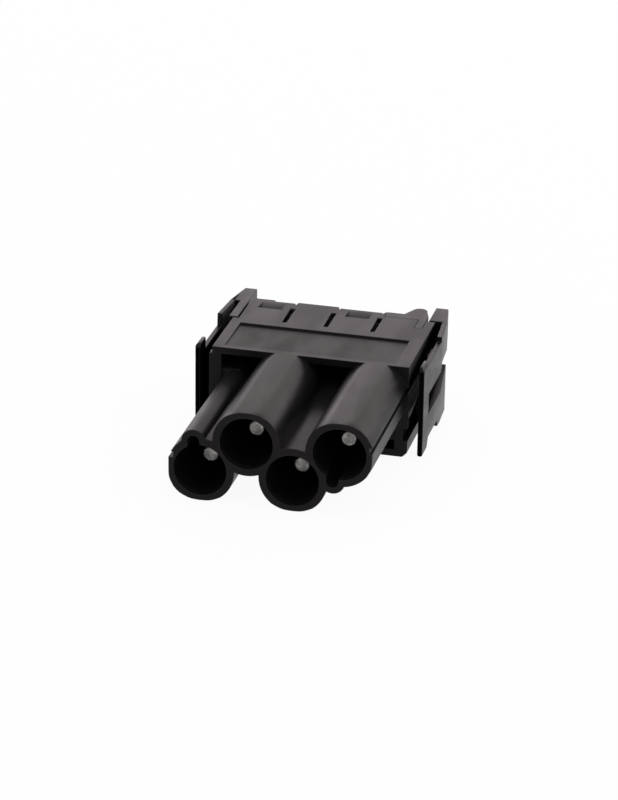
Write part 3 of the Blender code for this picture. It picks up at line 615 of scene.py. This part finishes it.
# The lock's bed stands closer round the lock than the solid's clearance
def closeLockBed(shape, look):
    flanks = set()
    for face in shape.faces:
        upright = abs(face.normal.z) < look["bedUpright"]
        if upright and besideLock(face.calc_center_median(), look["lockSeam"] * mm):
            flanks.add(face)
    moves = {}
    for vert in shape.verts:
        ways = []
        for face in vert.link_faces:
            if face in flanks and all(face.normal.dot(way) < sameWay for way in ways):
                ways.append(face.normal.copy())
        if len(ways) == 1:
            moves[vert] = ways[0]
        elif len(ways) == 2:
            moves[vert] = (ways[0] + ways[1]) / max(1.0 + ways[0].dot(ways[1]), look["bedGuard"])
    for vert, way in moves.items():
        vert.co += way * look["bedClose"] * mm
    print("lock bed closed up at", len(moves), "points")


def setRoughShade(shape, face, amount):
    matt = shape.loops.layers.float["matt"]
    for loop in face.loops:
        loop[matt] = amount


# Bores and snap pockets get the rough spark-eroded skin with painted shade; the wall beside the arm gets
# painted light that fades into painted shade, and the roof's panel has a little of the rough skin and
# painted shade
def roughenShellAndPaintLightShade(shape, look):
    axes = tubeAxes()
    matt = shape.loops.layers.float["matt"]
    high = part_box(look["node"])[1]
    for face in shape.faces:
        middle = face.calc_center_median()
        axis = min(axes, key=lambda a: math.hypot(middle.x - a.x, middle.z - a.z))
        outward = Vector((middle.x - axis.x, 0.0, middle.z - axis.z))
        inFront = max(v.co.y for v in face.verts) < look["boreBack"] * mm
        inBore = inFront and face.normal.dot(outward) < -look["boreReach"] * mm
        aside = within(high.x - abs(middle.x), look["pocketDepth"])
        inPocket = aside and within(middle.z, look["pocketHeight"]) and within(middle.y, look["pocketRun"])
        sunk = within(high.z - middle.z, look["panelDepth"])
        onPanel = face.normal.z > facingShare and sunk and middle.y < look["panelBack"] * mm
        onSide = abs(face.normal.x) > facingShare and abs(middle.x) > high.x - look["wallDepth"] * mm
        besideArm = onSide and middle.y > look["wallFront"] * mm and middle.z > look["wallLow"] * mm
        # painted shade and rough skin in bores and snap pockets
        if inBore or inPocket:
            setRoughShade(shape, face, 1.0)
        elif besideArm:
            # painted light on the wall beside the arm, fading into painted shade downwards and towards the
            # back
            face.material_index = 1
            for loop in face.loops:
                drop = (high.z - loop.vert.co.z) / mm
                loop[matt] = drop / look["wallFade"] + loop.vert.co.y / mm / look["wallRun"]
        elif onPanel:
            setRoughShade(shape, face, look["panelRoughShade"])


# The panel's front and right rim is a plain low step
def onRim(edge, top, look):
    for face in edge.link_faces:
        middle = face.calc_center_median()
        inPanel = 0.0 < middle.y < look["panelBack"] * mm and top - middle.z < look["rim"] * mm
        if inPanel and (face.normal.y > facingShare or face.normal.x < -facingShare):
            return True
    return False


# Corners of the shell, without the mouths' own edges, the sharp ones along the tubes and the lock's seam
def shellCorners(shape, look):
    low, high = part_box(look["node"])
    mouthY = low.y + look["mouthSlack"] * mm
    kept = []
    for edge in corners(shape):
        middle = (edge.verts[0].co + edge.verts[1].co) / 2
        if besideLock(middle, look["lockSeam"] * mm) or onRim(edge, high.z, look):
            continue
        front = min(v.co.y for v in edge.verts)
        along = edge.verts[0].co - edge.verts[1].co
        onTube = abs(along.y) > lengthShare * along.length and front < mouthY
        atMouth = max(v.co.y for v in edge.verts) < mouthY
        if not atMouth and not (onTube and edge.is_convex):
            kept.append(edge)
    return kept


# Open edges joined into loops, walked in the mesh's order so that each run gives the same faces
def boundaryLoops(shape):
    left = dict.fromkeys(e for e in shape.edges if e.is_boundary)
    loops = []
    while left:
        edge = next(iter(left))
        del left[edge]
        start, vert = edge.verts
        loop = [start, vert]
        while True:
            following = next((e for e in vert.link_edges if e in left), None)
            if following is None:
                break
            del left[following]
            vert = following.other_vert(vert)
            if vert is start:
                break
            loop.append(vert)
        loops.append(loop)
    return loops


# Directions from a loop's points into the material, long enough to keep an even inset at its corners
def insetDirections(loop, guard):
    sides = []
    for first, second in zip(loop, loop[1:] + loop[:1]):
        face = next(f for e in first.link_edges if e.other_vert(first) is second for f in e.link_faces)
        sides.append(Vector((face.normal.x, 0.0, face.normal.z)).normalized())
    pairs = zip(sides[-1:] + sides[:-1], sides)
    return [-(before + after) / max(1.0 + before.dot(after), guard) for before, after in pairs]


# Extra points beside the corners of long sides, so that a corner can be drawn as a curve
def splitLongSides(shape, loop, look):
    points = []
    for first, second in zip(loop, loop[1:] + loop[:1]):
        points.append(first)
        near, far = first.co.copy(), second.co.copy()
        reach = look["splitReach"] * mm / (far - near).length
        if reach > look["splitShare"]:
            continue
        for share in (reach, 2 * reach, 0.5, 1 - 2 * reach, 1 - reach):
            edge = next(e for e in points[-1].link_edges if e.other_vert(points[-1]) is second)
            fresh = bmesh.utils.edge_split(edge, points[-1], 0.5)[1]
            fresh.co = near.lerp(far, share)
            points.append(fresh)
    return points


# Places of a loop's points with the corners of its flats drawn as curves
def softPlaces(loop, look):
    places = [v.co.copy() for v in loop]
    count = len(loop)
    crossings = []
    turns = []
    for i in range(count):
        before = places[i] - places[i - 1]
        after = places[(i + 1) % count] - places[i]
        crossings.append(places[i].x * places[i - 1].z - places[i - 1].x * places[i].z)
        bend = math.atan2(after.x * before.z - before.x * after.z, before.x * after.x + before.z * after.z)
        turns.append(math.degrees(bend))
    hand = math.copysign(1.0, sum(crossings))
    least, most = look["bluntTurns"]
    blunt = [p for p, turn in zip(places, turns) if least < turn * hand < most]
    notches = [p for p, turn in zip(places, turns) if turn * hand < look["notchTurn"]]
    print("mouth outline:", len(blunt), "blunt corners,", len(notches), "notches")
    free = []
    for place in places:
        near = any((place - corner).length < look["softReach"] * mm for corner in blunt)
        free.append(near and all((place - notch).length > look["softGap"] * mm for notch in notches))
    for _ in range(look["softPasses"]):
        middles = [(places[i - 1] + places[(i + 1) % count]) / 2 for i in range(count)]
        drawn = zip(places, middles, free)
        places = [p.lerp(m, look["softPull"]) if moves else p for p, m, moves in drawn]
    return places


def addLip(shape, loop, places, radius, look):
    rim = shape.verts.layers.float["rim"]
    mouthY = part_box(look["node"])[0].y
    inward = insetDirections(loop, look["insetGuard"])
    ring = loop
    for step in range(look["lipSteps"] + 1):
        turn = math.pi / 2 * step / look["lipSteps"]
        inset = radius * (1.0 - math.cos(turn))
        y = mouthY + radius * (1.0 - math.sin(turn))
        fresh = []
        for place, way in zip(places, inward):
            point = place + way * inset
            fresh.append(shape.verts.new((point.x, y, point.z)))
            fresh[-1][rim] = math.sin(2 * turn)
        for i in range(len(loop)):
            j = (i + 1) % len(loop)
            shape.faces.new((ring[i], ring[j], fresh[j], fresh[i]))
        ring = fresh
    return [shape.edges.get((ring[i - 1], ring[i])) for i in range(len(ring))]


def roundMouths(shape, look):
    cut = (0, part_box(look["node"])[0].y + look["mouthRun"] * mm, 0)
    everything = list(shape.verts) + list(shape.edges) + list(shape.faces)
    bmesh.ops.bisect_plane(shape, geom=everything, plane_co=cut, plane_no=(0, 1, 0), clear_inner=True)
    loops = boundaryLoops(shape)
    widest = max(loops, key=len)
    lipEdges = []
    for loop in loops:
        if loop is widest:
            points = splitLongSides(shape, loop, look)
            places = softPlaces(points, look)
            lipEdges += addLip(shape, points, places, look["outerLip"] * mm, look)
        else:
            places = [v.co for v in loop]
            lipEdges += addLip(shape, loop, places, look["boreLip"] * mm, look)
    bmesh.ops.triangle_fill(shape, edges=lipEdges, use_beauty=True, normal=(0, -1, 0))
    print("tube mouths:", len(loops) - 1, "bores in", len(loops), "loops")


# The tubes' flats meet their rounds in a clear line
def creaseTubes(mesh, look):
    sharp = mesh.attributes["sharp_edge"].data
    shape = bmesh.new()
    shape.from_mesh(mesh)
    for edge in shape.edges:
        along = edge.verts[0].co - edge.verts[1].co
        lengthways = abs(along.y) > sameWay * along.length > look["creaseLength"] * mm
        if lengthways and edge.calc_face_angle(0.0) > math.radians(look["crease"]):
            sharp[edge.index].value = True
    shape.free()


def makeShell(look):
    shape = nodeShape(look["node"], weldReach)
    snapShell(shape, look)
    joinFacets(shape)
    liftPanel(shape, look)
    closeLockBed(shape, look)
    roughenShellAndPaintLightShade(shape, look)
    roundEdges(shape, shellCorners(shape, look), look["edge"], look["steps"])
    roundMouths(shape, look)
    piece = makePiece("frontShell", shape, look["slot"])
    piece.data.materials.append(paintedWallLightShade)
    creaseTubes(piece.data, look)
    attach(piece, look["body"])
    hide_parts(look["node"])


makeShell(shellLook)
print("front shell dressed")


# Rear carrier and rear lock
carrierLook = {"body": "housing", "slot": "carrier_plastic", "edge": 0.12, "steps": 2}
lockLook = {"body": "lock", "slot": "lock_plastic", "edge": 0.05, "steps": 2}
dressNode("rearCarrier", "rear_carrier", carrierLook)
dressNode("rearLock", "rear_lock", lockLook)
print("carrier and lock dressed")


# Side latches; a thin web carries each arm's root into its base
latchLook = {
    "slot": "latch_plastic",
    "weld": 0.02,
    "edge": 0.14,
    "steps": 3,
    "foot": 0.3,
    "footSteps": 4,
    "footHeight": 0.3,
    "frontDepth": 0.5,
    "hollowSlope": (0.1, 0.3),
    "hollowRoughShadePeak": 2.36,  # rough skin and painted shade, strongest at the hollow's top front corner
    "hollowBack": 1.3,  # its loss to the hollow's back
    "hollowDown": 1.74,  # and to its foot
    "paintedLightBack": 10.0,  # inner faces behind this get a pale painted-light tone, with no painted shade
}
webLook = {
    "slot": "latch_plastic",
    "thickness": 0.8,
    "length": 0.3,
    "bottom": 9.9,
    "top": 14.6,
    "edge": 0.14,
    "steps": 3,
    "cuts": 3,
    "slack": 0.01,
    "below": 0.1,
}


def hingePlace(side):
    joints = frame["record"]["behaviour"]["joints"]
    return Vector(next(j["pos_m"] for j in joints if j["name"] == side + "_latch_flex"))


# The edges round an arm's root stay sharp, so that the web runs on flush from them
def latchCorners(shape, root):
    inner = abs(root.x) - webLook["thickness"] / 2 * mm
    split = Vector((math.copysign(inner, root.x), 0.0, 0.0))
    everything = list(shape.verts) + list(shape.edges) + list(shape.faces)
    bmesh.ops.bisect_plane(shape, geom=everything, plane_co=split, plane_no=(1, 0, 0))
    kept = []
    for edge in corners(shape):
        atRoot = all(abs(v.co.y - root.y) < webLook["length"] * mm for v in edge.verts)
        outside = all(abs(v.co.x) > inner - webLook["slack"] * mm for v in edge.verts)
        high = all(v.co.z > (webLook["bottom"] - webLook["below"]) * mm for v in edge.verts)
        if not (atRoot and outside and high):
            kept.append(edge)
    return kept


# An arm's front, inner face and hollow get a rough skin with painted shade, which runs out in the hollow
# where the hollow's back and foot, and inner faces far back, show a pale painted-light tone
def roughenArmAndPaintLightShade(shape, side, look):
    matt = shape.loops.layers.float["matt"]
    front = min(v.co.y for v in shape.verts) + look["frontDepth"] * mm
    least, most = look["hollowSlope"]
    for face in shape.faces:
        outward = face.normal.x * side
        hollow = outward > facingShare and least < face.normal.z < most
        atFront = face.normal.y < -facingShare and face.calc_center_median().y < front
        if not hollow and outward > -facingShare and not atFront:
            continue
        face.material_index = 1
        ys = [v.co.y for v in face.verts]
        zs = [v.co.z for v in face.verts]
        for loop in face.loops:
            loop[matt] = 1.0
            if hollow:
                back = (loop.vert.co.y - min(ys)) / (max(ys) - min(ys))
                down = (max(zs) - loop.vert.co.z) / (max(zs) - min(zs))
                loop[matt] = look["hollowRoughShadePeak"] - look["hollowBack"] * back - look["hollowDown"] * down
            elif min(ys) > look["paintedLightBack"] * mm:
                loop[matt] = 0.0


def makeLatchPart(name, node, body, root):
    shape = nodeShape(node, latchLook["weld"])
    joinFacets(shape)
    bends = body != "housing"
    if bends:
        roughenArmAndPaintLightShade(shape, math.copysign(1.0, root.x), latchLook)
    footTop = latchLook["footHeight"] * mm
    foot = [e for e in lengthwise(shape) if max(v.co.z for v in e.verts) < footTop]
    if foot:
        roundEdges(shape, foot, latchLook["foot"], latchLook["footSteps"])
    roundEdges(shape, latchCorners(shape, root), latchLook["edge"], latchLook["steps"])
    piece = makePiece(name, shape, latchLook["slot"])
    if bends:
        piece.data.materials.append(paintedArmLightShade)
    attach(piece, body)
    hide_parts(node)


def makeWeb(side, root, look):
    shape = bmesh.new()
    shape.verts.layers.float.new("rim")
    bmesh.ops.create_cube(shape, size=mm)
    middle = (root.x, root.y, (look["bottom"] + look["top"]) / 2 * mm)
    spans = (look["thickness"], look["length"], look["top"] - look["bottom"])
    bmesh.ops.scale(shape, vec=spans, verts=shape.verts)
    bmesh.ops.translate(shape, vec=middle, verts=shape.verts)
    roundEdges(shape, lengthwise(shape), look["edge"], look["steps"])
    bmesh.ops.subdivide_edges(shape, edges=lengthwise(shape), cuts=look["cuts"])
    piece = makePiece("latchWeb" + side.title(), shape, look["slot"])
    half = Vector((0.0, look["length"] / 2 * mm, 0.0))
    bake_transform(piece, "housing", side + "_latch", start=root + half, end=root - half)


for side in ("left", "right"):
    root = hingePlace(side)
    makeLatchPart("latchBase" + side.title(), "latch_base_" + side, "housing", root)
    makeLatchPart("latchArm" + side.title(), "latch_arm_" + side, side + "_latch", root)
    makeWeb(side, root, webLook)
print("latches dressed")


# Contacts and their clips
contactLook = {"body": "housing", "slot": "contact_silver", "edge": 0.05, "steps": 2}
clipLook = {"body": "housing", "slot": "clip_steel", "edge": 0.015, "steps": 1}


def addTurnRadius(piece, axis):
    mesh = piece.data
    radius = mesh.attributes.new("turnRadius", "FLOAT", "POINT")
    for vert, value in zip(mesh.vertices, radius.data):
        value.value = math.hypot(vert.co.x - axis.x, vert.co.z - axis.z)


for number, axis in enumerate(tubeAxes(), 1):
    addTurnRadius(dressNode(f"contactPin{number}", f"contact_pin_{number}", contactLook), axis)
    addTurnRadius(dressNode(f"retainingClip{number}", f"retaining_clip_{number}", clipLook), axis)
print("contacts dressed")


# Studio: one pale floor that meets a white surround, and soft lamps
studioLook = {
    "floorSize": 6.0,
    "floorCells": 8,
    "floorColour": (0.95, 0.95, 0.95),
    "floorGlow": 0.94,
    "surround": 0.68,
}
lamps = {
    "backSoftbox": {
        "place": (-0.08, 0.62, 0.20),
        "size": (1.10, 0.36),
        "power": 1.85,
        "colour": (1.0, 0.87, 0.89),
    },
    "rightSoftbox": {
        "place": (0.55, 0.10, 0.30),
        "size": (0.40, 0.40),
        "power": 0.7,
        "colour": (1.0, 0.95, 0.95),
    },
    "topSoftbox": {
        "place": (0.05, -0.05, 0.65),
        "size": (0.50, 0.50),
        "power": 0.6,
        "colour": (1.0, 0.95, 0.95),
    },
}


def seenDirectly(tree):
    path = tree.nodes.new("ShaderNodeLightPath").outputs
    shown = calc(tree, "MAXIMUM", path["Is Camera Ray"], path["Is Glossy Ray"])
    return calc(tree, "MAXIMUM", shown, path["Is Transmission Ray"])


def makeFloor(look):
    shape = bmesh.new()
    cells = look["floorCells"]
    bmesh.ops.create_grid(shape, x_segments=cells, y_segments=cells, size=look["floorSize"] / 2)
    mesh = bpy.data.meshes.new("studioFloor")
    shape.to_mesh(mesh)
    shape.free()
    material = bpy.data.materials.new("paleFloor")
    material.use_nodes = True
    tree = material.node_tree
    tree.nodes.clear()
    matt = tree.nodes.new("ShaderNodeBsdfDiffuse")
    matt.inputs["Color"].default_value = (*look["floorColour"], 1.0)
    glow = tree.nodes.new("ShaderNodeEmission")
    mix = tree.nodes.new("ShaderNodeMixShader")
    link(tree, calc(tree, "MULTIPLY", seenDirectly(tree), look["floorGlow"]), mix.inputs["Fac"])
    link(tree, matt.outputs[0], mix.inputs[1])
    link(tree, glow.outputs[0], mix.inputs[2])
    out = tree.nodes.new("ShaderNodeOutputMaterial")
    link(tree, mix.outputs[0], out.inputs["Surface"])
    mesh.materials.append(material)
    floor = bpy.data.objects.new("studioFloor", mesh)
    floor.location.z = cadLow.z
    scene.collection.objects.link(floor)


def makeSurround(look):
    world = bpy.data.worlds.new("studioSurround")
    world.use_nodes = True
    tree = world.node_tree
    background = tree.nodes["Background"]
    background.inputs["Color"].default_value = (1.0, 1.0, 1.0, 1.0)
    level = tree.nodes.new("ShaderNodeMapRange")
    link(tree, seenDirectly(tree), level.inputs["Value"])
    level.inputs["To Min"].default_value = look["surround"]
    link(tree, level.outputs["Result"], background.inputs["Strength"])
    scene.world = world


def makeLamp(name, look):
    data = bpy.data.lights.new(name, "AREA")
    data.shape = "RECTANGLE"
    data.size, data.size_y = look["size"]
    data.energy = look["power"]
    data.color = look["colour"]
    lamp = bpy.data.objects.new(name, data)
    aim = (cadLow + cadHigh) / 2 - Vector(look["place"])
    lamp.location = look["place"]
    lamp.rotation_euler = aim.to_track_quat("-Z", "Y").to_euler()
    lamp.visible_camera = False
    scene.collection.objects.link(lamp)


makeFloor(studioLook)
makeSurround(studioLook)
for name, look in lamps.items():
    makeLamp(name, look)
print("studio lit")
